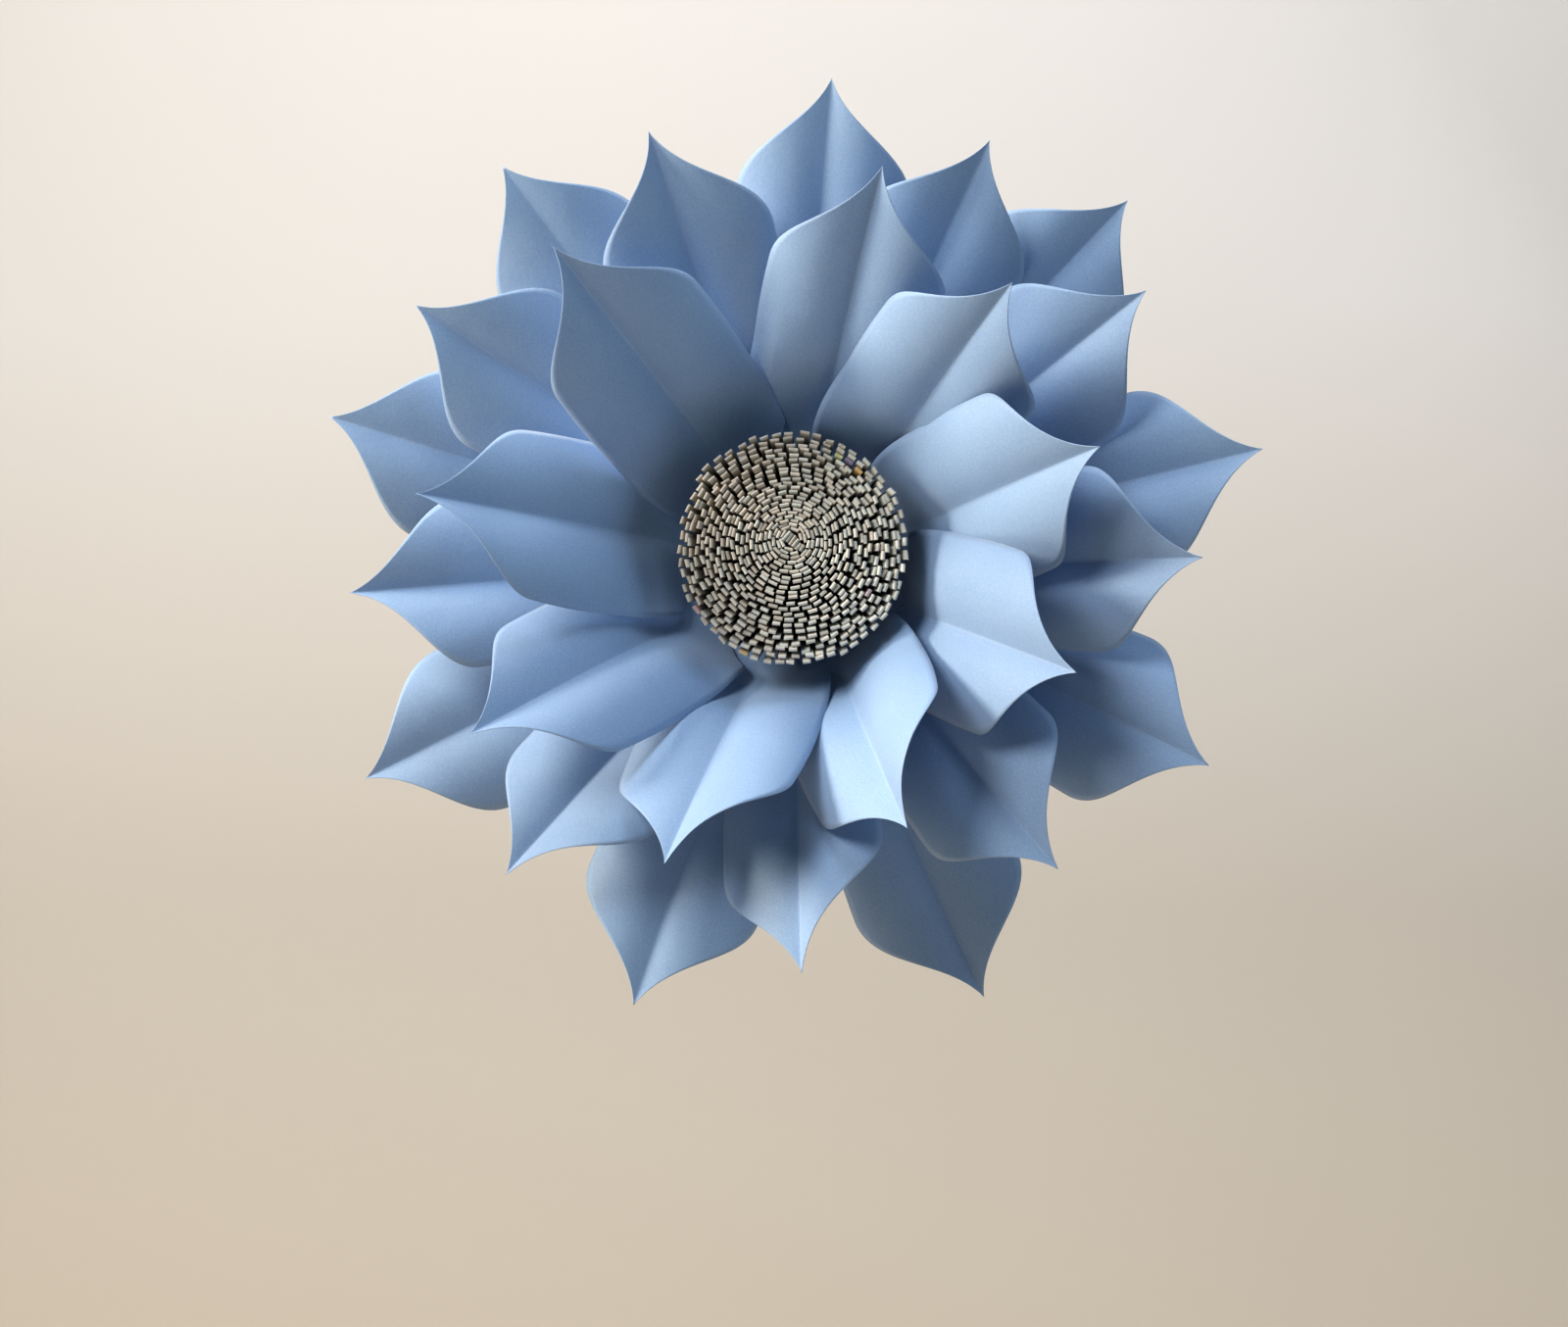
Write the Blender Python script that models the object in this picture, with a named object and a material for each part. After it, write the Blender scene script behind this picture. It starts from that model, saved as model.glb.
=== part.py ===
"""Giant paper flower: a wall flower of 27 creased card petals round a fringed, rolled paper centre.

Metres, +Z up. The wall is the plane y = 0 and the flower faces -Y; x is to the right seen from
the front. The origin is the middle of the card circle's back, which is what is fixed to the wall.
Angles in the plane of the wall are counter-clockwise from +X, seen from the front.
"""

import math

import bmesh
import bpy
from mathutils import Vector

# Sheets and the clearance between glued pieces
CARD = 0.0004
PAPER = 0.0006
BACKING = 0.0015
GAP = 0.0003
SHARP_ANGLE = math.radians(40)

# Card circle on the wall
BACKING_RADIUS = 0.064
BACKING_SIDES = 48

# Petal pattern. The tip curve holds the half width at distances from the tip, down to the
# shoulder; below it a side that swells a little runs to the ring's own neck, and the glue tab
TIP_CURVE = ((0.000, 0.000), (0.034, 0.014), (0.046, 0.058), (0.072, 0.058))
SIDE_SWELL = 0.004
NECK_AT = 0.052
TAB_HALF = 0.014
FOOT_HALF = 0.009
TIP_ROWS = 3
BODY_ROWS = (0.012, 0.026, 0.052, 0.088)
HALF_COLUMNS = 3

# How each petal is formed: it bends up above its flat glue tab, wraps round the centre there,
# is creased and curled further out, and its tip rolls back over a cylinder
BEND = 0.026
TIP_CURL = math.radians(16)
FORMED_FROM = 0.010
FORMED_AT = 0.086
ROLL_FROM = 0.002
ROLL_AT = 0.044
TWIST_FROM = 0.060

# The three rings, from the wall forwards. Turns are clockwise from the first petal.
# Each entry of a list is one petal: its seat and aim beyond even spacing (degrees), its slide
# outwards (mm), its rise off the wall, its roll about the crease, the slope of its halves beside
# the crease and its twist towards the tip (degrees)
PETALS_PER_RING = 9
OUTER = {
    "name": "outer_petal",
    "neck": 0.030,
    "seat_radius": 0.038,
    "tab": 0.020,
    "length": 0.258,
    "first_seat": 89,
    "seats": (-2, 1, -1, 3, -3, -4, 2, -4, -4),
    "slides": (0, 2, -1, 0, -3, 0, 3, 6, 7),
    "aims": (-4, -3, 3, 3, 5, 3, -2, -6, -2),
    "rises": (12, 9, 19, 26, 2, 18, 12, 14, 14),
    "rolls": (3, 8, -7, 0, 7, -2, 6, 5, 5),
    "creases": (25, 28, 30, 18, 32, 25, 28, 25, 16),
    "twists": (0, 0, 0, 2, 0, 0, 0, 0, -4),
    "curl_radius": 0.048,
}
MIDDLE = {
    "name": "middle_petal",
    "neck": 0.032,
    "seat_radius": 0.034,
    "tab": 0.020,
    "length": 0.242,
    "first_seat": 110,
    "seats": (2, -6, -1, 2, 4, -2, -3, -3, -6),
    "slides": (3, 6, 0, 0, 0, 0, 0, 2, 7),
    "aims": (-2, -6, 6, 8, -1, 3, 0, -5, -3),
    "rises": (22, 18, 26, 36, 33, 31, 28, 19, 19),
    "rolls": (13, 6, 2, 10, 14, 15, 17, 9, 6),
    "creases": (41, 30, 26, 30, 32, 32, 34, 42, 34),
    "twists": (0, 8, 0, 4, 4, 18, 10, 4, -4),
    "curl_radius": 0.048,
}
INNER = {
    "name": "inner_petal",
    "neck": 0.048,
    "seat_radius": 0.030,
    "tab": 0.022,
    "length": 0.226,
    "first_seat": 90,
    "seats": (-5, -7, -1, 3, -3, 4, 0, 5, -3),
    "slides": (1, 0, 0, 0, -1, 0, 0, 0, 0),
    "aims": (-16, -2, 6, 5, 5, 0, 2, 2, -2),
    "rises": (33, 49, 52, 53, 54, 48, 41, 39, 37),
    "rolls": (0, 11, 9, 14, 17, 16, 16, 14, 2),
    "creases": (33, 26, 33, 35, 34, 34, 35, 38, 41),
    "twists": (0, -10, 0, 0, 20, 14, 4, 10, 4),
    "curl_radius": 0.046,
}

# Fringed strip rolled up for the centre
STRIP_WIDTH = 0.062
FRINGE_START = 0.014
ROLL_TURNS = 24
ROLL_START = 0.0025
ROLL_RADIUS = 0.049
SPREAD_RADIUS = 0.070
CENTRE_LEAN = 0.006
FIRST_TURN_STRANDS = 6
LAST_TURN_STRANDS = 20
STRAND_TAPER = 0.92


def smooth_step(value, low, high):
    """0 below low, 1 above high and an S curve between."""
    share = min(1.0, max(0.0, (value - low) / (high - low)))
    return share * share * (3 - 2 * share)


def bezier(points, share):
    """Point on a cubic curve of (distance, half width) pairs."""
    rest = 1 - share
    weights = (rest**3, 3 * rest * rest * share, 3 * rest * share * share, share**3)
    return tuple(sum(w * p[i] for w, p in zip(weights, points)) for i in (0, 1))


def half_width(curve, distance):
    """Half width of a pattern curve at this distance from the tip."""
    low, high = 0.0, 1.0
    for _ in range(30):
        middle = (low + high) / 2
        if bezier(curve, middle)[0] < distance:
            low = middle
        else:
            high = middle
    return bezier(curve, low)[1]


def pattern_half_width(ring, along):
    """Half width of a ring's pattern at this distance from its base."""
    tab, neck = ring["tab"], ring["neck"]
    shoulder = ring["length"] - TIP_CURVE[-1][0]
    if along >= shoulder:
        return half_width(TIP_CURVE, ring["length"] - along)
    if along >= NECK_AT:
        share = (along - NECK_AT) / (shoulder - NECK_AT)
        straight = neck + (TIP_CURVE[-1][1] - neck) * share
        return straight + SIDE_SWELL * 4 * share * (1 - share)
    if along <= tab:
        return FOOT_HALF + (TAB_HALF - FOOT_HALF) * along / tab
    return TAB_HALF + (neck - TAB_HALF) * smooth_step(along, tab, NECK_AT)


def petal_pattern(ring):
    """Rows (distance from the base, half width) of a ring's pattern, base first."""
    length, tab = ring["length"], ring["tab"]
    rows = []
    for along in (0.0, tab) + tuple(tab + reach for reach in BODY_ROWS):
        rows.append((along, pattern_half_width(ring, along)))
    for i in range(TIP_ROWS, -1, -1):
        distance, half = bezier(TIP_CURVE, i / TIP_ROWS)
        rows.append((length - distance, half))
    return rows


class Form:
    """Shape that one flat petal is folded and rolled into."""

    def __init__(self, ring, number):
        self.tab = ring["tab"]
        self.length = ring["length"]
        self.seat_radius = ring["seat_radius"] + ring["slides"][number] / 1000
        self.rise = math.radians(ring["rises"][number])
        self.crease = math.radians(ring["creases"][number])
        self.curl_radius = ring["curl_radius"]
        self.roll = math.radians(ring["rolls"][number])
        self.twist = math.radians(ring["twists"][number])

    def slope(self, along):
        """Angle off the wall plane at this distance along the crease."""
        bent = smooth_step(along, self.tab, self.tab + BEND)
        beyond = max(0.0, (along - self.tab) / (self.length - self.tab))
        return bent * (self.rise + TIP_CURL * (0.5 - beyond))

    def crease_point(self, along, steps=48):
        """Distance forwards and height off the tab of a point on the crease."""
        forward = height = 0.0
        for i in range(steps):
            angle = self.slope((i + 0.5) * along / steps)
            forward += math.cos(angle) * along / steps
            height += math.sin(angle) * along / steps
        return forward, height

    def bends(self, along, forward):
        """Angle beside the crease, and change of angle per metre across, at this place."""
        formed = smooth_step(along, self.tab + FORMED_FROM, self.tab + FORMED_AT)
        wrap = math.sin(self.slope(along)) / (self.seat_radius + forward)
        return self.crease * formed, wrap * (1 - formed) - formed / self.curl_radius

    def section(self, along, across, forward):
        """Sideways and upward offset, square to the crease, of a point across the petal."""
        start, bend = self.bends(along, forward)
        end = start + bend * abs(across)
        if abs(end - start) < 1e-6:
            sideways, upward = abs(across) * math.cos(start), abs(across) * math.sin(start)
        else:
            sideways = (math.sin(end) - math.sin(start)) / bend
            upward = (math.cos(start) - math.cos(end)) / bend
        return math.copysign(sideways, across), upward

    def point(self, along, across):
        """Distance forwards, sideways and height off the tab of any point of the flat petal."""
        forward, height = self.crease_point(along)
        sideways, upward = self.section(along, across, forward)
        angle = self.slope(along)
        roll = self.roll * smooth_step(along, self.tab + ROLL_FROM, self.tab + ROLL_AT)
        roll += self.twist * smooth_step(along, TWIST_FROM, self.length)
        lifted = sideways * math.sin(roll) + upward * math.cos(roll)
        return (
            forward - lifted * math.sin(angle),
            sideways * math.cos(roll) - upward * math.sin(roll),
            height + lifted * math.cos(angle),
        )


def on_wall(seat_radius, seat, aim, height, local):
    """World position of a (forwards, sideways, height) point of a petal seated at this angle."""
    forward, sideways, up = local
    return Vector(
        (
            seat_radius * math.cos(seat) + forward * math.cos(aim) - sideways * math.sin(aim),
            -(height + up),
            seat_radius * math.sin(seat) + forward * math.sin(aim) + sideways * math.cos(aim),
        )
    )


def material(name, colour, roughness):
    """Plain Principled material of one sheet."""
    made = bpy.data.materials.new(name)
    made.use_nodes = True
    surface = made.node_tree.nodes["Principled BSDF"]
    surface.inputs["Base Color"].default_value = (*colour, 1.0)
    surface.inputs["Roughness"].default_value = roughness
    surface.inputs["Metallic"].default_value = 0.0
    return made


def add_object(name, mesh, surface):
    obj = bpy.data.objects.new(name, mesh)
    obj.data.materials.append(surface)
    bpy.context.scene.collection.objects.link(obj)
    return obj


def thicken(obj, thickness, offset):
    """Gives a sheet its thickness, on the side of its normals when offset is 1."""
    modifier = obj.modifiers.new("thickness", "SOLIDIFY")
    modifier.thickness = thickness
    modifier.offset = offset
    modifier.use_even_offset = True


def mark_sharp(shape):
    """Smooth shading with the crease, steep bends and cut edges left sharp."""
    for face in shape.faces:
        face.smooth = True
    for edge in shape.edges:
        edge.smooth = not edge.is_boundary and edge.calc_face_angle(0.0) < SHARP_ANGLE


def petal_columns(half):
    """Sideways stations from one edge to the other, the crease in the middle."""
    return [half * i / HALF_COLUMNS for i in range(-HALF_COLUMNS, HALF_COLUMNS + 1)]


def petal(ring, number, height, surface):
    """One creased petal: its back rests at this height off the wall."""
    form = Form(ring, number)
    step = -360 / PETALS_PER_RING
    seat = ring["first_seat"] + step * number + ring["seats"][number]
    aim = math.radians(ring["first_seat"] + step * number + ring["aims"][number])
    place = (form.seat_radius, math.radians(seat), aim, height)
    shape = bmesh.new()
    rows = []
    for along, half in petal_pattern(ring):
        stations = petal_columns(half) if half > 0 else [0.0]
        rows.append([shape.verts.new(on_wall(*place, form.point(along, s))) for s in stations])
    for lower, upper in zip(rows, rows[1:]):
        for i in range(len(lower) - 1):
            if len(upper) == 1:
                shape.faces.new((lower[i], upper[0], lower[i + 1]))
            else:
                shape.faces.new((lower[i], upper[i], upper[i + 1], lower[i + 1]))
    mark_sharp(shape)
    mesh = bpy.data.meshes.new(f"{ring['name']}_{number + 1}")
    shape.to_mesh(mesh)
    shape.free()
    thicken(add_object(mesh.name, mesh, surface), CARD, 1)


def backing(surface):
    """Card circle that the petals are glued to and that goes against the wall."""
    shape = bmesh.new()
    bmesh.ops.create_cone(
        shape,
        cap_ends=True,
        segments=BACKING_SIDES,
        radius1=BACKING_RADIUS,
        radius2=BACKING_RADIUS,
        depth=BACKING,
    )
    mesh = bpy.data.meshes.new("backing_disc")
    shape.to_mesh(mesh)
    shape.free()
    obj = add_object("backing_disc", mesh, surface)
    obj.rotation_euler = (math.radians(90), 0, 0)
    obj.location = (0, -BACKING / 2, 0)


def strand_angles():
    """Angles along the rolled strip where the cuts between strands fall."""
    total = 2 * math.pi * ROLL_TURNS
    angles = [0.0]
    while angles[-1] < total:
        share = angles[-1] / total
        count = FIRST_TURN_STRANDS + share * (LAST_TURN_STRANDS - FIRST_TURN_STRANDS)
        angles.append(angles[-1] + 2 * math.pi / count)
    return angles


def roll_radii(share):
    """Radius of the strip's foot and of its fringe's tips at this share of its length."""
    return (
        ROLL_START + (ROLL_RADIUS - ROLL_START) * share,
        ROLL_START + (SPREAD_RADIUS - ROLL_START) * share,
    )


def roll_point(angle, height, base_height):
    """Point of the rolled strip at this angle along it and at this height of its width."""
    share = angle / (2 * math.pi * ROLL_TURNS)
    foot, tip = roll_radii(share)
    reach = STRIP_WIDTH - FRINGE_START
    fringe = max(0.0, height - FRINGE_START)
    radius = foot + (tip - foot) * fringe / reach
    lean = CENTRE_LEAN * (1 - share) * fringe / reach
    height += fringe * (math.cos(math.asin((tip - foot) / reach)) - 1)
    return Vector(
        (radius * math.cos(angle), -(base_height + height), radius * math.sin(angle) + lean)
    )


def centre_roll(base_height, surface):
    """Fringed strip rolled into a spiral, its strands leaning further out towards the rim."""
    shape = bmesh.new()
    angles = strand_angles()
    feet = [shape.verts.new(roll_point(a, 0.0, base_height)) for a in angles]
    cuts = [shape.verts.new(roll_point(a, FRINGE_START, base_height)) for a in angles]
    for i, (here, there) in enumerate(zip(angles, angles[1:])):
        shape.faces.new((feet[i], feet[i + 1], cuts[i + 1], cuts[i]))
        foot, tip = roll_radii(here / angles[-1])
        middle, half = (here + there) / 2, (there - here) / 2 * STRAND_TAPER * foot / tip
        left = shape.verts.new(roll_point(middle - half, STRIP_WIDTH, base_height))
        right = shape.verts.new(roll_point(middle + half, STRIP_WIDTH, base_height))
        shape.faces.new((cuts[i], cuts[i + 1], right, left))
    mark_sharp(shape)
    mesh = bpy.data.meshes.new("centre_roll")
    shape.to_mesh(mesh)
    shape.free()
    thicken(add_object("centre_roll", mesh, surface), PAPER, 0)


def clear_scene():
    for obj in list(bpy.data.objects):
        bpy.data.objects.remove(obj, do_unlink=True)


def main():
    clear_scene()
    petal_card = material("petal_card", (0.36, 0.52, 0.78), 0.7)
    fringe_paper = material("fringe_paper", (0.50, 0.45, 0.36), 0.85)
    backing_card = material("backing_card", (0.62, 0.60, 0.55), 0.85)
    backing(backing_card)
    height = BACKING + GAP
    for ring in (OUTER, MIDDLE, INNER):
        for number in range(PETALS_PER_RING):
            petal(ring, number, height, petal_card)
        height += CARD + GAP
    centre_roll(height, fringe_paper)


main()
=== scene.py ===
"""Giant paper flower: the finish, the fine form of its sheets, and the studio round it.

Metres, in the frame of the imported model: the wall is the plane y = 0, the flower faces -Y,
x is to the right seen from the front and z is up. Angles run counter-clockwise from +X.
"""

import math
import random

import bmesh
import bpy
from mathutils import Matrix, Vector, noise


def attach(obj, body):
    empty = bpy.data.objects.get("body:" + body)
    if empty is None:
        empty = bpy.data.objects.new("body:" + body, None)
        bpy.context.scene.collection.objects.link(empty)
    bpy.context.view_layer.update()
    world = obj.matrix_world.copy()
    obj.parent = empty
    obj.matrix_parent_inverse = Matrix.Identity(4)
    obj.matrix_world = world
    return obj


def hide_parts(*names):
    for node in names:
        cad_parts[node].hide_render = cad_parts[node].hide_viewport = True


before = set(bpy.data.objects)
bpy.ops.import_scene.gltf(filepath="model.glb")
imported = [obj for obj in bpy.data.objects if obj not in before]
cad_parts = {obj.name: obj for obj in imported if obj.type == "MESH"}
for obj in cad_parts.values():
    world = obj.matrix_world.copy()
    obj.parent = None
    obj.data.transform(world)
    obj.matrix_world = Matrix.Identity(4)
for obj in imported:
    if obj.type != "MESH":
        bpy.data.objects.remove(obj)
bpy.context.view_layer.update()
BODY = "root"
RANDOM_SEED = 27

# Sheets and the clearance between glued pieces, as in the solids
CARD = 0.0004
BACKING = 0.0015
GAP = 0.0003

# Petal pattern: the half width at distances from the tip, down to the shoulder, then a side
# that swells a little, down to the ring's own neck, and the glue tab, as in the solids
TIP_CURVE = ((0.000, 0.000), (0.034, 0.014), (0.046, 0.058), (0.072, 0.058))
SIDE_SWELL = 0.004
NECK_AT = 0.052
TAB_HALF = 0.014
FOOT_HALF = 0.009

# How each petal is formed, as in the solids
BEND = 0.026
TIP_CURL = math.radians(16)
FORMED_FROM = 0.010
FORMED_AT = 0.086
ROLL_FROM = 0.002
ROLL_AT = 0.044
TWIST_FROM = 0.060

# The three rings, from the wall forwards, as in the solids. The lists have one value for each
# petal: angles in degrees, and slides outwards in millimetres
PETALS_PER_RING = 9
OUTER = {
    "name": "outer_petal",
    "neck": 0.030,
    "seat_radius": 0.038,
    "tab": 0.020,
    "length": 0.258,
    "first_seat": 89,
    "seats": (-2, 1, -1, 3, -3, -4, 2, -4, -4),
    "slides": (0, 2, -1, 0, -3, 0, 3, 6, 7),
    "aims": (-4, -3, 3, 3, 5, 3, -2, -6, -2),
    "rises": (12, 9, 19, 26, 2, 18, 12, 14, 14),
    "rolls": (3, 8, -7, 0, 7, -2, 6, 5, 5),
    "creases": (25, 28, 30, 18, 32, 25, 28, 25, 16),
    "twists": (0, 0, 0, 2, 0, 0, 0, 0, -4),
    "curl_radius": 0.048,
}
MIDDLE = {
    "name": "middle_petal",
    "neck": 0.032,
    "seat_radius": 0.034,
    "tab": 0.020,
    "length": 0.242,
    "first_seat": 110,
    "seats": (2, -6, -1, 2, 4, -2, -3, -3, -6),
    "slides": (3, 6, 0, 0, 0, 0, 0, 2, 7),
    "aims": (-2, -6, 6, 8, -1, 3, 0, -5, -3),
    "rises": (22, 18, 26, 36, 33, 31, 28, 19, 19),
    "rolls": (13, 6, 2, 10, 14, 15, 17, 9, 6),
    "creases": (41, 30, 26, 30, 32, 32, 34, 42, 34),
    "twists": (0, 8, 0, 4, 4, 18, 10, 4, -4),
    "curl_radius": 0.048,
}
INNER = {
    "name": "inner_petal",
    "neck": 0.048,
    "seat_radius": 0.030,
    "tab": 0.022,
    "length": 0.226,
    "first_seat": 90,
    "seats": (-5, -7, -1, 3, -3, 4, 0, 5, -3),
    "slides": (1, 0, 0, 0, -1, 0, 0, 0, 0),
    "aims": (-16, -2, 6, 5, 5, 0, 2, 2, -2),
    "rises": (33, 49, 52, 53, 54, 48, 41, 39, 37),
    "rolls": (0, 11, 9, 14, 17, 16, 16, 14, 2),
    "creases": (33, 26, 33, 35, 34, 34, 35, 38, 41),
    "twists": (0, -10, 0, 0, 20, 14, 4, 10, 4),
    "curl_radius": 0.046,
}

# Slight unevenness of each free sheet: waves per metre along it and across it, layer of the
# noise, height of the waves. The last two values set each petal's own place in the noise
RIPPLES = ((16, 22, 0.0, 0.0007), (60, 75, 4.0, 0.00016))
RIPPLE_FROM = 0.030
RIPPLE_AT = 0.120
NOISE_PER_PETAL = 3.7
NOISE_PER_LENGTH = 90

# Where handling has paled the card: along the fold beyond the tab, and along the cut edge
FOLD_WEAR = 0.3
FOLD_WEAR_WIDTH = 0.0007
FOLD_WEAR_AT = 0.05
RIM_WEAR = 0.35
RIM_WEAR_WIDTH = 0.0008

# Fineness of the petal meshes, and how tightly their folds are rounded. A place on the tip
# curve is found by halvings, and a section that bends less than STRAIGHT counts as straight
PETAL_ROWS = 84
FOLD_COLUMNS = (0.0004, 0.0010, 0.0020, 0.0040)
FOLD_SHARE = 0.3
EVEN_COLUMNS = 11
PROFILE_STEPS = 520
HALVINGS = 26
STRAIGHT = 1e-6
FOLD_ROUNDING = 0.0005
BASE_ROUNDING = 0.0030

# Fringed strip of the centre: a folded strip, so each strand is a loop of two layers that
# starts a little inside the uncut band
STRIP_WIDTH = 0.062
STRIP_PAPER = 0.00022
FRINGE_START = 0.014
ROOT_OVERLAP = 0.001
BAND_HALF = 0.00045
STRAND_WIDTH = 0.0052
LOOP_THICKNESS = 0.0019

# How the strip is rolled, from its first turn to its last, and how far the last strands'
# tips spread. The spread grows with this power of the way out
ROLL_TURNS = 24
ROLL_ANGLE = 2 * math.pi * ROLL_TURNS
ROLL_START = 0.0006
ROLL_RADIUS = 0.049
SPREAD_RADIUS = 0.070
SPREAD_POWER = 1.7
LEAN_LIMIT = 0.9
LEG_CURVE = (0.55, 0.45)

# The middle of the roll has narrower strands with thinner loops, and leans upwards. Its first
# strands are wide and stand side by side, turned to CORE_ANGLE, and inside LEAST_RADIUS the
# angle from one strand to the next grows no further
INNER_WIDTH = 0.88
FULL_WIDTH_AT = 0.014
THINNER_LOOPS = 0.10
CENTRE_LEAN = 0.0065
RIM_LEAN = 0.0005
CORE_ANGLE = math.radians(52)
CORE_STRANDS = 4
CORE_WIDTH = 1.38
LEAST_RADIUS = 0.0030

# Unevenness of the strands: shares of the even width and of the even pitch, then each spread
# in the middle of the roll and what the rim adds to it. A sway of 1 turns a strand's top by
# SWAY_TURN round the roll
WIDTH_RANGE = (0.86, 1.10)
PITCH_RANGE = (0.98, 1.14)
RISE_SPREAD = (0.0002, 0.0005)
TIP_SPREAD = (0.00008, 0.0006)
SWAY_SPREAD = (0.03, 0.08)
SWAY_TURN = 0.12
TWIST_SPREAD = (0.04, 0.06)

# Tones of the strip: painted light, paler to the right and below, browner to the left, and
# painted shade, dark between the strands from this far below their tops
PAINTED_LIGHT_RIGHT = 0.55
PAINTED_LIGHT_BELOW = 0.45
BROWNER_LEFT = 0.45
PAINTED_GAP_SHADE_FROM = 0.0008
PAINTED_GAP_SHADE_AT = 0.0060
# The uncut band: tone, warmth and full painted shade
BAND_TONES_AND_PAINTED_SHADE = (0.4, 0.5, 1.0)

# The few strands with printed colour: degrees, distance out as a share of the rim, colour
DYED = (
    (58.9, 0.90, (0.56, 0.60, 0.30)),
    (55.0, 0.86, (0.24, 0.19, 0.34)),
    (51.5, 0.90, (0.52, 0.32, 0.38)),
    (46.6, 0.87, (0.74, 0.46, 0.16)),
    (211.0, 0.98, (0.50, 0.33, 0.33)),
    (244.9, 0.99, (0.62, 0.46, 0.26)),
    (332.0, 0.79, (0.50, 0.40, 0.44)),
)
DYE_STRENGTH = 0.85
NO_DYE = (0.0, 0.0, 0.0, 0.0)

# Fineness of the strip's mesh
LEG_STEPS = 5
LOOP_ARC_STEPS = 8
NEAR_TOP = 0.96
BAND_STEPS = 40

# Backdrop: a floor that sweeps up into an upright back, and the heights between which painted
# shade makes its colour darker and browner towards the floor
STAGE_FLOOR = -1.25
STAGE_FRONT = -3.4
STAGE_BACK = 2.6
STAGE_SIDE = 3.4
STAGE_TOP = 5.0
SWEEP_RADIUS = 0.9
SWEEP_STEPS = 12
PAINTED_SHADE_FULL_BELOW = -1.1
PAINTED_SHADE_ENDS_ABOVE = 0.7

# Lights: name, place, what it is aimed at, size across, watts, colour. A soft key grazes from
# the left and a little above, the fills are weaker, and one light is for the backdrop alone
FLOWER = (0.0, 0.0, 0.0)
BACKDROP_SPOT = (1.0, 2.6, 1.5)
LIGHTS = (
    ("key_light", (-3.1, -0.80, 1.35), FLOWER, 1.0, 118, (1.0, 0.90, 0.75)),
    ("window_fill", (-1.9, -2.2, 1.9), FLOWER, 1.6, 58, (1.0, 0.99, 0.98)),
    ("top_fill", (0.0, -1.0, 3.2), FLOWER, 1.2, 23, (0.70, 0.86, 1.0)),
    ("right_fill", (3.1, -1.35, 0.5), FLOWER, 1.6, 19, (0.70, 0.86, 1.0)),
    ("backdrop_light", (-0.3, 0.2, 3.5), BACKDROP_SPOT, 1.8, 74, (1.0, 0.98, 0.975)),
    ("back_fill", (1.8, 1.6, 1.2), FLOWER, 1.6, 10, (1.0, 0.95, 0.88)),
)
GLOW_COLOUR = (0.42, 0.68, 1.0, 1)
GLOW_STRENGTH = 0.05
SURROUND_COLOUR = (0.46, 0.425, 0.375, 1)

# The photograph's view: where the camera stands and what it looks at
CAMERA_PLACE = (0.1007, -1.4398, -0.1390)
CAMERA_TARGET = (-0.0087, 0.0, -0.0642)
LENS = 53.4
SENSOR = 36.0


# Form of the petals

def smooth_step(value, low, high):
    """0 below low, 1 above high and an S curve between."""
    share = min(1.0, max(0.0, (value - low) / (high - low)))
    return share * share * (3 - 2 * share)


def bezier(points, share):
    """Point on a cubic curve of (distance, half width) pairs."""
    rest = 1 - share
    weights = (rest**3, 3 * rest * rest * share, 3 * rest * share * share, share**3)
    return tuple(sum(w * p[i] for w, p in zip(weights, points)) for i in (0, 1))


def half_width(curve, distance):
    """Half width of a pattern curve at this distance from the tip."""
    low, high = 0.0, 1.0
    for _ in range(HALVINGS):
        middle = (low + high) / 2
        if bezier(curve, middle)[0] < distance:
            low = middle
        else:
            high = middle
    return bezier(curve, low)[1]


def pattern_half_width(ring, along):
    """Half width of a ring's pattern at this distance from its base."""
    tab, neck = ring["tab"], ring["neck"]
    shoulder = ring["length"] - TIP_CURVE[-1][0]
    if along >= shoulder:
        return half_width(TIP_CURVE, ring["length"] - along)
    if along >= NECK_AT:
        share = (along - NECK_AT) / (shoulder - NECK_AT)
        straight = neck + (TIP_CURVE[-1][1] - neck) * share
        return straight + SIDE_SWELL * 4 * share * (1 - share)
    if along <= tab:
        return FOOT_HALF + (TAB_HALF - FOOT_HALF) * along / tab
    return TAB_HALF + (neck - TAB_HALF) * smooth_step(along, tab, NECK_AT)


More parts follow.
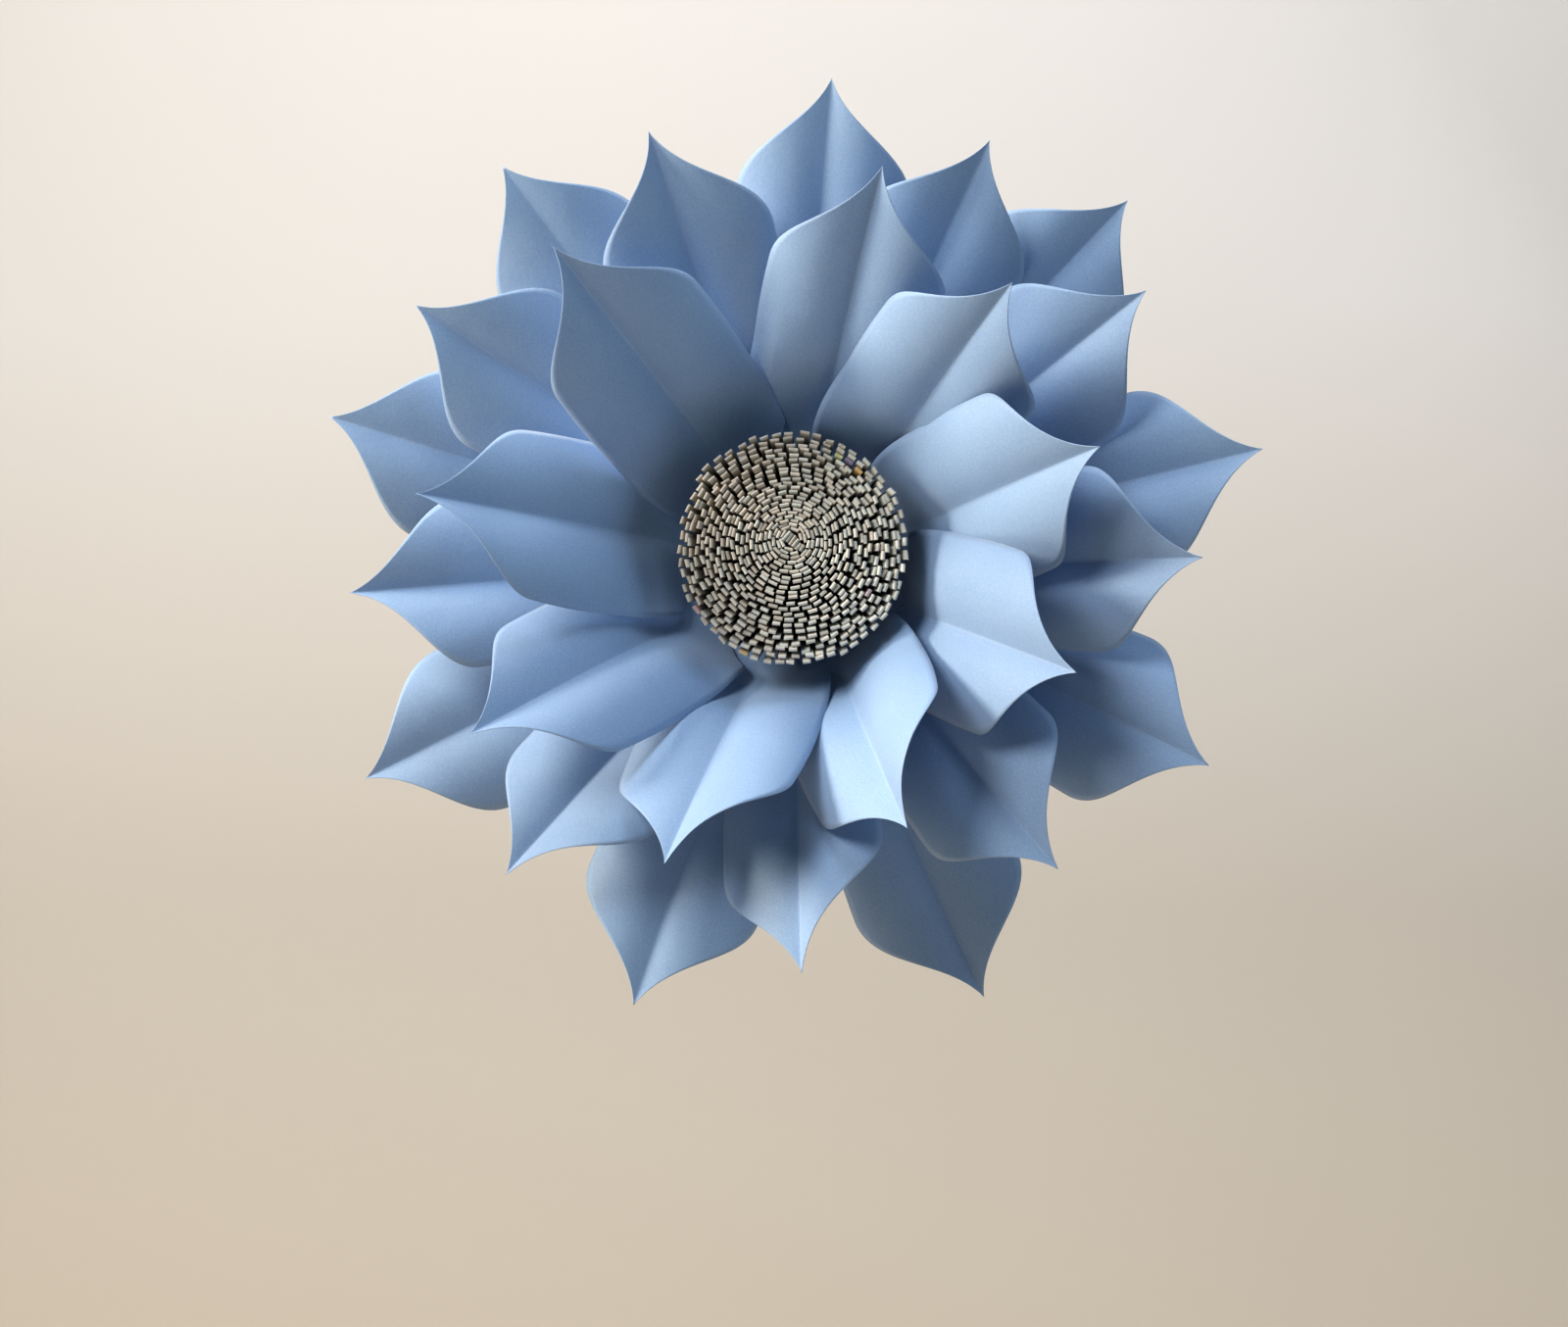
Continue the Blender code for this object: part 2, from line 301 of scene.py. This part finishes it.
class Form:
    """Shape that one flat petal is folded and rolled into, and its seat on the wall."""

    def __init__(self, ring, number):
        even = ring["first_seat"] - 360 / PETALS_PER_RING * number
        self.seat = math.radians(even + ring["seats"][number])
        self.aim = math.radians(even + ring["aims"][number])
        self.seat_radius = ring["seat_radius"] + ring["slides"][number] / 1000
        self.tab = ring["tab"]
        self.length = ring["length"]
        self.rise = math.radians(ring["rises"][number])
        self.crease = math.radians(ring["creases"][number])
        self.curl_radius = ring["curl_radius"]
        self.roll = math.radians(ring["rolls"][number])
        self.twist = math.radians(ring["twists"][number])
        self.seed = Vector((number * NOISE_PER_PETAL, ring["length"] * NOISE_PER_LENGTH, 0.0))
        self.profile = self.crease_profile()

    def slope(self, along):
        """Angle off the wall plane at this distance along the crease."""
        bent = smooth_step(along, self.tab, self.tab + BEND)
        beyond = max(0.0, (along - self.tab) / (self.length - self.tab))
        return bent * (self.rise + TIP_CURL * (0.5 - beyond))

    def crease_profile(self):
        """Forward distance and height of the crease at even steps from base to tip."""
        forward = height = 0.0
        step = self.length / PROFILE_STEPS
        profile = [(0.0, 0.0)]
        for i in range(PROFILE_STEPS):
            angle = self.slope((i + 0.5) * step)
            forward += math.cos(angle) * step
            height += math.sin(angle) * step
            profile.append((forward, height))
        return profile

    def crease_point(self, along):
        """Distance forwards and height off the tab of a point on the crease."""
        place = along / self.length * (len(self.profile) - 1)
        low = min(int(place), len(self.profile) - 2)
        share = place - low
        here, there = self.profile[low], self.profile[low + 1]
        return tuple(a + (b - a) * share for a, b in zip(here, there))

    def bends(self, along, forward):
        """Angle beside the crease, and change of angle per metre across, at this place."""
        formed = smooth_step(along, self.tab + FORMED_FROM, self.tab + FORMED_AT)
        wrap = math.sin(self.slope(along)) / (self.seat_radius + forward)
        return self.crease * formed, wrap * (1 - formed) - formed / self.curl_radius

    def section(self, along, across, forward):
        """Sideways and upward offset, square to the crease, of a point across the petal."""
        start, bend = self.bends(along, forward)
        end = start + bend * abs(across)
        if abs(end - start) < STRAIGHT:
            sideways = abs(across) * math.cos(start)
            upward = abs(across) * math.sin(start)
        else:
            sideways = (math.sin(end) - math.sin(start)) / bend
            upward = (math.cos(start) - math.cos(end)) / bend
        softness = FOLD_ROUNDING + (BASE_ROUNDING - FOLD_ROUNDING) * (1 - along / self.length)
        upward += math.tan(start) * softness * math.exp(-abs(across) / softness)
        return math.copysign(sideways, across), upward

    def ripple(self, along, across):
        """Slight unevenness that handling leaves in the sheet, none on the tab."""
        free = smooth_step(along, self.tab + RIPPLE_FROM, self.tab + RIPPLE_AT)
        height = 0.0
        for waves_along, waves_across, layer, size in RIPPLES:
            place = Vector((along * waves_along, across * waves_across, layer))
            height += size * noise.noise(self.seed + place)
        return free * height

    def point(self, along, across):
        """Distance forwards, sideways and height off the tab of any point of the flat petal."""
        forward, height = self.crease_point(along)
        sideways, upward = self.section(along, across, forward)
        upward += self.ripple(along, across)
        angle = self.slope(along)
        roll = self.roll * smooth_step(along, self.tab + ROLL_FROM, self.tab + ROLL_AT)
        roll += self.twist * smooth_step(along, TWIST_FROM, self.length)
        lifted = sideways * math.sin(roll) + upward * math.cos(roll)
        return (
            forward - lifted * math.sin(angle),
            sideways * math.cos(roll) - upward * math.sin(roll),
            height + lifted * math.cos(angle),
        )

    def on_wall(self, along, across, height):
        """World position of any point of the flat petal, once formed and glued at this height."""
        forward, sideways, up = self.point(along, across)
        ahead, aside = math.cos(self.aim), math.sin(self.aim)
        x = self.seat_radius * math.cos(self.seat) + forward * ahead - sideways * aside
        z = self.seat_radius * math.sin(self.seat) + forward * aside + sideways * ahead
        return x, -(height + up), z


# Node helpers

def new_material(name):
    """A material with its node tree and its one shader."""
    made = bpy.data.materials.new(name)
    made.use_nodes = True
    tree = made.node_tree
    return made, tree, tree.nodes["Principled BSDF"]


def feed(tree, socket, value):
    """Links another node's output to an input, or sets the input to a plain value."""
    if isinstance(value, bpy.types.NodeSocket):
        tree.links.new(value, socket)
    else:
        socket.default_value = value


def coordinates_of(tree):
    return tree.nodes.new("ShaderNodeTexCoord").outputs["Object"]


def attribute(tree, name, output="Fac"):
    """What a mesh stores for each vertex under this name."""
    made = tree.nodes.new("ShaderNodeAttribute")
    made.attribute_name = name
    return made.outputs[output]


def noise_node(tree, coordinates, scale, detail=3.0, roughness=0.55):
    made = tree.nodes.new("ShaderNodeTexNoise")
    made.inputs["Scale"].default_value = scale
    made.inputs["Detail"].default_value = detail
    made.inputs["Roughness"].default_value = roughness
    tree.links.new(coordinates, made.inputs["Vector"])
    return made.outputs["Fac"]


def mapped(tree, value, low, high, from_low=0.0, from_high=1.0):
    """Value brought from one range to another and held inside it."""
    made = tree.nodes.new("ShaderNodeMapRange")
    made.inputs["From Min"].default_value = from_low
    made.inputs["From Max"].default_value = from_high
    made.inputs["To Min"].default_value = low
    made.inputs["To Max"].default_value = high
    tree.links.new(value, made.inputs["Value"])
    return made.outputs["Result"]


def mixed(tree, factor, first, second, blend="MIX"):
    """Colour mix. first and second are colours or sockets."""
    made = tree.nodes.new("ShaderNodeMix")
    made.data_type = "RGBA"
    made.blend_type = blend
    feed(tree, made.inputs[0], factor)
    feed(tree, made.inputs[6], first)
    feed(tree, made.inputs[7], second)
    return made.outputs[2]


def computed(tree, operation, first, second):
    """Sum, product or the like of two values or sockets."""
    made = tree.nodes.new("ShaderNodeMath")
    made.operation = operation
    feed(tree, made.inputs[0], first)
    feed(tree, made.inputs[1], second)
    return made.outputs[0]


def clouded(tree, cloud, first, second):
    """Colour that drifts between two tones with a noise."""
    return mixed(tree, mapped(tree, cloud, 0.0, 1.0, 0.3, 0.7), first, second)


def toned(tree, colour, dark, light):
    """Colour times a shade between dark and light, by each vertex's stored tone, which on the
    strip also holds painted light.
    """
    shade = mixed(tree, mapped(tree, attribute(tree, "tone"), 0.0, 1.0), dark, light)
    return mixed(tree, 1.0, colour, shade, "MULTIPLY")


def bump(tree, shader, height, strength, distance):
    made = tree.nodes.new("ShaderNodeBump")
    made.inputs["Strength"].default_value = strength
    made.inputs["Distance"].default_value = distance
    tree.links.new(height, made.inputs["Height"])
    tree.links.new(made.outputs["Normal"], shader.inputs["Normal"])


# Materials

def petal_card():
    """Light blue card: cloudy dye, felt-like fibre grain, and paler fold lines and edges."""
    made, tree, shader = new_material("petal_card")
    place = coordinates_of(tree)
    cloud = noise_node(tree, place, 26.0, detail=4.0)
    fibre = noise_node(tree, place, 900.0, roughness=0.65)
    felt = noise_node(tree, place, 330.0)
    base = clouded(tree, cloud, (0.256, 0.400, 0.636, 1), (0.276, 0.425, 0.656, 1))
    specks = mapped(tree, fibre, 0.0, 0.42, 0.38, 0.72)
    speckled = mixed(tree, specks, base, (0.49, 0.59, 0.73, 1))
    colour = toned(tree, speckled, (0.95, 0.95, 0.96, 1), (1.04, 1.04, 1.03, 1))
    wear = computed(tree, "MULTIPLY", attribute(tree, "worn"), 0.5)
    faded = mixed(tree, wear, colour, (0.56, 0.67, 0.82, 1))
    tree.links.new(faded, shader.inputs["Base Color"])
    tree.links.new(mapped(tree, felt, 0.56, 0.68), shader.inputs["Roughness"])
    shader.inputs["Specular IOR Level"].default_value = 0.5
    shader.inputs["Sheen Weight"].default_value = 0.30
    shader.inputs["Sheen Roughness"].default_value = 0.5
    grain = computed(tree, "ADD", computed(tree, "MULTIPLY", fibre, 0.5), felt)
    bump(tree, shader, grain, 0.70, 0.0002)
    return made


def card_edge():
    """Cut edge of the petal card, paler than its faces."""
    made, tree, shader = new_material("card_edge")
    fibre = noise_node(tree, coordinates_of(tree), 1800.0, detail=2.0)
    colour = clouded(tree, fibre, (0.36, 0.49, 0.72, 1), (0.44, 0.56, 0.76, 1))
    tree.links.new(colour, shader.inputs["Base Color"])
    shader.inputs["Roughness"].default_value = 0.8
    bump(tree, shader, fibre, 0.3, 0.0001)
    return made


def fringe_paper():
    """Grey-beige strip paper, a little different on each strand, with painted light and with
    painted shade dark deep between the strands.
    """
    made, tree, shader = new_material("fringe_paper")
    place = coordinates_of(tree)
    cloud = noise_node(tree, place, 160.0)
    fibre = noise_node(tree, place, 1700.0, detail=2.0)
    pale = mixed(tree, attribute(tree, "warm"), (0.66, 0.67, 0.62, 1), (0.70, 0.64, 0.56, 1))
    strand = toned(tree, pale, (0.74, 0.72, 0.70, 1), (1.18, 1.18, 1.17, 1))
    patches = mapped(tree, cloud, 0.0, 0.25, 0.35, 0.75)
    cloudy = mixed(tree, patches, strand, (0.46, 0.43, 0.37, 1))
    dyed = mixed(tree, attribute(tree, "dye", "Alpha"), cloudy, attribute(tree, "dye", "Color"))
    # Painted shade: near-black from a little below the strand tops downwards, where shade falls
    # between the strands
    with_painted_shade = mixed(tree, attribute(tree, "painted_shade"), dyed, (0.060, 0.058, 0.052, 1))
    tree.links.new(with_painted_shade, shader.inputs["Base Color"])
    shader.inputs["Roughness"].default_value = 0.78
    shader.inputs["Specular IOR Level"].default_value = 0.3
    bump(tree, shader, fibre, 0.3, 0.00012)
    return made


def backing_card():
    """Plain pale card of the circle behind the petals."""
    made, tree, shader = new_material("backing_card")
    place = coordinates_of(tree)
    cloud = noise_node(tree, place, 40.0, detail=4.0)
    fibre = noise_node(tree, place, 900.0)
    base = clouded(tree, cloud, (0.50, 0.46, 0.38, 1), (0.58, 0.54, 0.46, 1))
    flecked = mixed(tree, mapped(tree, fibre, 0.0, 0.4, 0.55, 0.8), base, (0.38, 0.33, 0.25, 1))
    tree.links.new(flecked, shader.inputs["Base Color"])
    shader.inputs["Roughness"].default_value = 0.86
    bump(tree, shader, fibre, 0.4, 0.0002)
    return made


def studio_cream():
    """Matt backdrop paint, with painted shade that makes it darker and browner towards the floor.
    """
    made, tree, shader = new_material("studio_cream")
    place = coordinates_of(tree)
    split = tree.nodes.new("ShaderNodeSeparateXYZ")
    tree.links.new(place, split.inputs["Vector"])
    cloud = noise_node(tree, place, 0.8, detail=2.0)
    upper = mixed(tree, cloud, (0.61, 0.595, 0.585, 1), (0.64, 0.625, 0.615, 1))
    # Painted shade: darker and browner from the back's lower part down to the floor
    climb = mapped(tree, split.outputs["Z"], 0.0, 1.0, PAINTED_SHADE_FULL_BELOW, PAINTED_SHADE_ENDS_ABOVE)
    colour = mixed(tree, climb, (0.51, 0.455, 0.38, 1), upper)
    tree.links.new(colour, shader.inputs["Base Color"])
    shader.inputs["Roughness"].default_value = 0.9
    return made


# Object helpers

def link(obj):
    bpy.context.scene.collection.objects.link(obj)
    return obj


def aim(obj, place, target):
    """Puts a light or the camera at a place, looking at the target."""
    obj.location = place
    obj.rotation_euler = (Vector(target) - Vector(place)).to_track_quat("-Z", "Y").to_euler()


def store(mesh, name, values):
    """Stores one number for each vertex, which the materials read."""
    mesh.attributes.new(name, "FLOAT", "POINT").data.foreach_set("value", values)


# Petals

def petal_rows(length):
    """Distances from the base to the tip, evenly spaced."""
    return [length * (i / PETAL_ROWS) for i in range(PETAL_ROWS)] + [length]


def columns(half):
    """Sideways stations from one edge to the other, close together at the fold."""
    if half == 0:
        return [0.0]
    fold = [0.0]
    for i, station in enumerate(FOLD_COLUMNS, 2):
        fold.append(min(station, half * FOLD_SHARE * i / (len(FOLD_COLUMNS) + 1)))
    start = fold[-1]
    outer = [start + (half - start) * (i + 1) / EVEN_COLUMNS for i in range(EVEN_COLUMNS)]
    right = fold + outer
    return [-x for x in right[:0:-1]] + right


def wear(form, half, along, across):
    """How far handling has paled the card at this place, from 0 to 1."""
    beyond_tab = smooth_step(along, form.tab, form.tab + FOLD_WEAR_AT)
    fold = math.exp(-((across / FOLD_WEAR_WIDTH) ** 2)) * beyond_tab
    rim = smooth_step(abs(across), half - RIM_WEAR_WIDTH, half) if half > 0 else 1.0
    return max(FOLD_WEAR * fold, RIM_WEAR * rim)


def sheet_faces(rows):
    """Faces between rows of points, where the tip is a row of one point."""
    faces = []
    for lower, upper in zip(rows, rows[1:]):
        for i in range(len(lower) - 1):
            if len(upper) == 1:
                faces.append((lower[i], upper[0], lower[i + 1]))
            else:
                faces.append((lower[i], upper[i], upper[i + 1], lower[i + 1]))
    return faces


def petal(ring, number, height, materials):
    """One creased petal in fine mesh, standing for the solid of the same name."""
    form = Form(ring, number)
    shade = random.random()
    points, worn, rows = [], [], []
    for along in petal_rows(form.length):
        half = pattern_half_width(ring, along) if along < form.length else 0.0
        first = len(points)
        for across in columns(half):
            points.append(form.on_wall(along, across, height))
            worn.append(wear(form, half, along, across))
        rows.append(range(first, len(points)))
    name = f"{ring['name']}_{number + 1}"
    mesh = bpy.data.meshes.new(name + "_sheet")
    mesh.from_pydata(points, [], sheet_faces(rows))
    mesh.shade_smooth()
    store(mesh, "tone", [shade] * len(points))
    store(mesh, "worn", worn)
    for material in materials:
        mesh.materials.append(material)
    obj = link(bpy.data.objects.new(name + "_sheet", mesh))
    thickness = obj.modifiers.new("thickness", "SOLIDIFY")
    thickness.thickness = CARD
    thickness.offset = 1
    thickness.material_offset_rim = 1
    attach(obj, BODY)
    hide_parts(name)


# Centre

def strip_radii(angle):
    """Radius of the rolled strip's foot and of its strand tips at this angle along the roll."""
    share = angle / ROLL_ANGLE
    foot = ROLL_START + (ROLL_RADIUS - ROLL_START) * share
    return foot, foot + (SPREAD_RADIUS - ROLL_RADIUS) * share**SPREAD_POWER


def direction(angle):
    """Direction from the middle of the roll to the strip at this angle along it."""
    return angle + CORE_ANGLE + math.pi / 2


def strand_width(foot):
    """Width that a strand is cut to: narrower near the middle of the roll."""
    return STRAND_WIDTH * (INNER_WIDTH + (1 - INNER_WIDTH) * min(1.0, foot / FULL_WIDTH_AT))


def loop_thickness(share):
    """Thickness of a strand's loop, from thinner in the middle of the roll to thicker outside."""
    return LOOP_THICKNESS * (1 - THINNER_LOOPS * (1 - 2 * share))


def scatter(spread, share):
    """Chance deviation of a strand, at this share of the way out."""
    return random.gauss(0.0, spread[0] + spread[1] * share)


def strand_path(foot, tip, rise, thickness):
    """(radius, height) points up one leg of a strand's loop, round its top and down the other."""
    reach = STRIP_WIDTH - FRINGE_START
    lean = math.asin(max(-LEAN_LIMIT, min(LEAN_LIMIT, (tip - foot) / reach)))
    bulge = thickness / 2

    def centre_line(share):
        bend = LEG_CURVE[0] * share + LEG_CURVE[1] * share * share
        climb = (reach * math.cos(lean) + rise + ROOT_OVERLAP) * share
        return foot + (tip - foot) * bend, FRINGE_START - ROOT_OVERLAP + climb

    legs = [i / LEG_STEPS for i in range(LEG_STEPS + 1)]
    top = centre_line(1.0)
    below = centre_line(NEAR_TOP)
    slant = math.atan2(top[0] - below[0], top[1] - below[1])
    out = (math.cos(slant), -math.sin(slant))
    up = (math.sin(slant), math.cos(slant))
    path = []
    for share in legs:
        radius, height = centre_line(share)
        path.append((radius - out[0] * bulge, height - out[1] * bulge))
    for i in range(1, LOOP_ARC_STEPS):
        angle = math.pi - math.pi * i / LOOP_ARC_STEPS
        sideways, lift = bulge * math.cos(angle), bulge * math.sin(angle)
        path.append(tuple(top[k] + out[k] * sideways + up[k] * lift for k in (0, 1)))
    for share in reversed(legs):
        radius, height = centre_line(share)
        path.append((radius + out[0] * bulge, height + out[1] * bulge))
    return path


def path_normals(path):
    """Unit vectors square to the path, pointing away from the inside of the loop."""
    normals = []
    for i in range(len(path)):
        before, after = path[max(0, i - 1)], path[min(len(path) - 1, i + 1)]
        along = Vector((after[0] - before[0], after[1] - before[1])).normalized()
        normals.append((-along.y, along.x))
    return normals


def dyed_strands(angles):
    """Colour of each strand that has one, by its place in the row of strands."""
    found = {}
    for bearing, distance, colour in DYED:
        misses = []
        for i, angle in enumerate(angles):
            turned = (math.degrees(direction(angle)) - bearing + 180) % 360 - 180
            tip = strip_radii(angle)[1]
            miss = math.hypot(math.radians(turned) * tip, tip - distance * SPREAD_RADIUS)
            misses.append((miss, i))
        found[min(misses)[1]] = (*colour, DYE_STRENGTH)
    return found


class Strip:
    """Mesh of the rolled strip as it grows, in tubes of four corners a station."""

    def __init__(self, base_height):
        self.base_height = base_height
        self.points = []
        self.faces = []
        self.tones_and_painted_shade = []
        self.dyes = []

    def add_corner(self, turn, place, lean, tones_and_painted_shade, dye):
        """One corner, at a place given as radius, sideways offset and height."""
        radius, offset, height = place
        self.points.append((
            radius * math.cos(turn) - offset * math.sin(turn),
            -(self.base_height + height),
            radius * math.sin(turn) + offset * math.cos(turn) + lean,
        ))
        self.tones_and_painted_shade.append(tones_and_painted_shade)
        self.dyes.extend(dye)

    def close_tube(self, first):
        """Walls and ends of the tube that started with this corner and has just been added."""
        last = len(self.points) - 4
        for a in range(first, last, 4):
            b = a + 4
            self.faces.append((a + 1, b + 1, b + 3, a + 3))
            self.faces.append((a, a + 2, b + 2, b))
            self.faces.append((a, b, b + 1, a + 1))
            self.faces.append((a + 2, a + 3, b + 3, b + 2))
        self.faces.append((first, first + 1, first + 3, first + 2))
        self.faces.append((last, last + 2, last + 3, last + 1))


def add_band(strip):
    """The strip's uncut lower band, a spiral wall of two layers."""
    first = len(strip.points)
    for i in range(ROLL_TURNS * BAND_STEPS + 1):
        angle = 2 * math.pi * i / BAND_STEPS
        foot, _ = strip_radii(angle)
        for offset in (-BAND_HALF, BAND_HALF):
            for height in (0.0, FRINGE_START):
                place = (foot + offset, 0.0, height)
                # The band is dark all over with painted shade, like the gaps between the strands
                strip.add_corner(direction(angle), place, 0.0, BAND_TONES_AND_PAINTED_SHADE, NO_DYE)
    strip.close_tube(first)


def add_strand(strip, angle, dye):
    """One looped strand of the fringe at this angle along the roll."""
    foot, tip = strip_radii(angle)
    share = angle / ROLL_ANGLE
    bearing = direction(angle)
    width = strand_width(foot) * random.uniform(*WIDTH_RANGE)
    if angle < CORE_STRANDS * math.pi:
        width *= CORE_WIDTH
    rise = scatter(RISE_SPREAD, share)
    tip += scatter(TIP_SPREAD, share)
    sway = scatter(SWAY_SPREAD, share)
    twist = scatter(TWIST_SPREAD, share)
    tone, warm = random.random(), random.random()
    # Painted light: strands paler to the right and below, and so darker to the left and above
    tone += share * (PAINTED_LIGHT_RIGHT * math.cos(bearing) - PAINTED_LIGHT_BELOW * math.sin(bearing))
    warm -= share * BROWNER_LEFT * math.cos(bearing)
    lean = RIM_LEAN + CENTRE_LEAN * (1 - share)
    path = strand_path(foot, tip, rise, loop_thickness(share))
    top = max(height for _, height in path)
    first = len(strip.points)
    for (radius, height), (out, up) in zip(path, path_normals(path)):
        share_up = max(0.0, (height - FRINGE_START) / (top - FRINGE_START))
        # Painted shade, darker from a little below the strand's top downwards
        painted_shade = smooth_step(top - height, PAINTED_GAP_SHADE_FROM, PAINTED_GAP_SHADE_AT)
        turn = bearing + sway * share_up * SWAY_TURN
        for side in (-1, 1):
            aside = side * width / 2
            for layer in (-0.5, 0.5):
                place = (
                    radius + out * STRIP_PAPER * layer + aside * math.sin(twist * share_up),
                    aside * math.cos(twist * share_up),
                    height + up * STRIP_PAPER * layer,
                )
                strip.add_corner(turn, place, lean * share_up, (tone, warm, painted_shade), dye)
    strip.close_tube(first)


def strand_angles():
    """Angles along the roll at which its strands stand, half a turn apart at first."""
    angles = [0.0]
    while angles[-1] < ROLL_ANGLE:
        foot, _ = strip_radii(angles[-1])
        step = strand_width(foot) * random.uniform(*PITCH_RANGE) / max(foot, LEAST_RADIUS)
        angles.append(angles[-1] + (math.pi if len(angles) <= CORE_STRANDS else step))
    return angles[:-1]


def centre_roll(base_height, material):
    """The whole rolled strip: its band and every strand."""
    strip = Strip(base_height)
    add_band(strip)
    angles = strand_angles()
    dyed = dyed_strands(angles)
    for i, angle in enumerate(angles):
        add_strand(strip, angle, dyed.get(i, NO_DYE))
    mesh = bpy.data.meshes.new("centre_roll_strip")
    mesh.from_pydata(strip.points, [], strip.faces)
    for index, name in enumerate(("tone", "warm", "painted_shade")):
        store(mesh, name, [tones_and_painted_shade[index] for tones_and_painted_shade in strip.tones_and_painted_shade])
    mesh.attributes.new("dye", "FLOAT_COLOR", "POINT").data.foreach_set("color", strip.dyes)
    mesh.materials.append(material)
    shape = bmesh.new()
    shape.from_mesh(mesh)
    bmesh.ops.recalc_face_normals(shape, faces=shape.faces)
    shape.to_mesh(mesh)
    shape.free()
    obj = link(bpy.data.objects.new("centre_roll_strip", mesh))
    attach(obj, BODY)
    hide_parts("centre_roll")


# Setting

def backdrop():
    """Pale floor that sweeps up into a pale back, well behind and below the flower."""
    sweep_start = STAGE_BACK - SWEEP_RADIUS
    profile = [(STAGE_FRONT, STAGE_FLOOR), (sweep_start, STAGE_FLOOR)]
    for i in range(1, SWEEP_STEPS + 1):
        turn = math.pi / 2 * i / SWEEP_STEPS
        y = sweep_start + SWEEP_RADIUS * math.sin(turn)
        z = STAGE_FLOOR + SWEEP_RADIUS - SWEEP_RADIUS * math.cos(turn)
        profile.append((y, z))
    profile.append((STAGE_BACK, STAGE_TOP))
    points = [(x, y, z) for y, z in profile for x in (-STAGE_SIDE, STAGE_SIDE)]
    faces = [(2 * i, 2 * i + 1, 2 * i + 3, 2 * i + 2) for i in range(len(profile) - 1)]
    mesh = bpy.data.meshes.new("studio_sweep")
    mesh.from_pydata(points, [], faces)
    mesh.shade_smooth()
    mesh.materials.append(studio_cream())
    link(bpy.data.objects.new("studio_sweep", mesh))


def area_light(name, place, target, size, power, colour):
    """One round soft light aimed at the target."""
    data = bpy.data.lights.new(name, "AREA")
    data.shape = "DISK"
    data.size = size
    data.energy = power
    data.color = colour
    aim(link(bpy.data.objects.new(name, data)), place, target)


def studio_world():
    """Weak bluish light from all round, and a plain pale surround where nothing else is seen."""
    world = bpy.data.worlds.new("studio_world")
    world.use_nodes = True
    tree = world.node_tree
    glow = tree.nodes["Background"]
    glow.inputs["Color"].default_value = GLOW_COLOUR
    glow.inputs["Strength"].default_value = GLOW_STRENGTH
    surround = tree.nodes.new("ShaderNodeBackground")
    surround.inputs["Color"].default_value = SURROUND_COLOUR
    path = tree.nodes.new("ShaderNodeLightPath")
    chosen = tree.nodes.new("ShaderNodeMixShader")
    tree.links.new(path.outputs["Is Camera Ray"], chosen.inputs[0])
    tree.links.new(glow.outputs[0], chosen.inputs[1])
    tree.links.new(surround.outputs[0], chosen.inputs[2])
    tree.links.new(chosen.outputs[0], tree.nodes["World Output"].inputs["Surface"])
    bpy.context.scene.world = world


def studio():
    """The surrounding glow, every light and the look of the picture."""
    scene = bpy.context.scene
    studio_world()
    for light in LIGHTS:
        area_light(*light)
    scene.view_settings.view_transform = "Standard"
    scene.view_settings.look = "Medium High Contrast"


def camera():
    """The photograph's view, sharp all over."""
    data = bpy.data.cameras.new("camera")
    data.lens = LENS
    data.sensor_width = SENSOR
    obj = link(bpy.data.objects.new("camera", data))
    aim(obj, CAMERA_PLACE, CAMERA_TARGET)
    bpy.context.scene.camera = obj


def main():
    """Dresses every node from the wall forwards, then sets up the studio."""
    random.seed(RANDOM_SEED)
    sheet_materials = (petal_card(), card_edge())
    height = BACKING + GAP
    for ring in (OUTER, MIDDLE, INNER):
        for number in range(PETALS_PER_RING):
            petal(ring, number, height, sheet_materials)
        height += CARD + GAP
    centre_roll(height, fringe_paper())
    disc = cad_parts["backing_disc"]
    disc.data.materials.clear()
    disc.data.materials.append(backing_card())
    backdrop()
    studio()
    camera()


main()
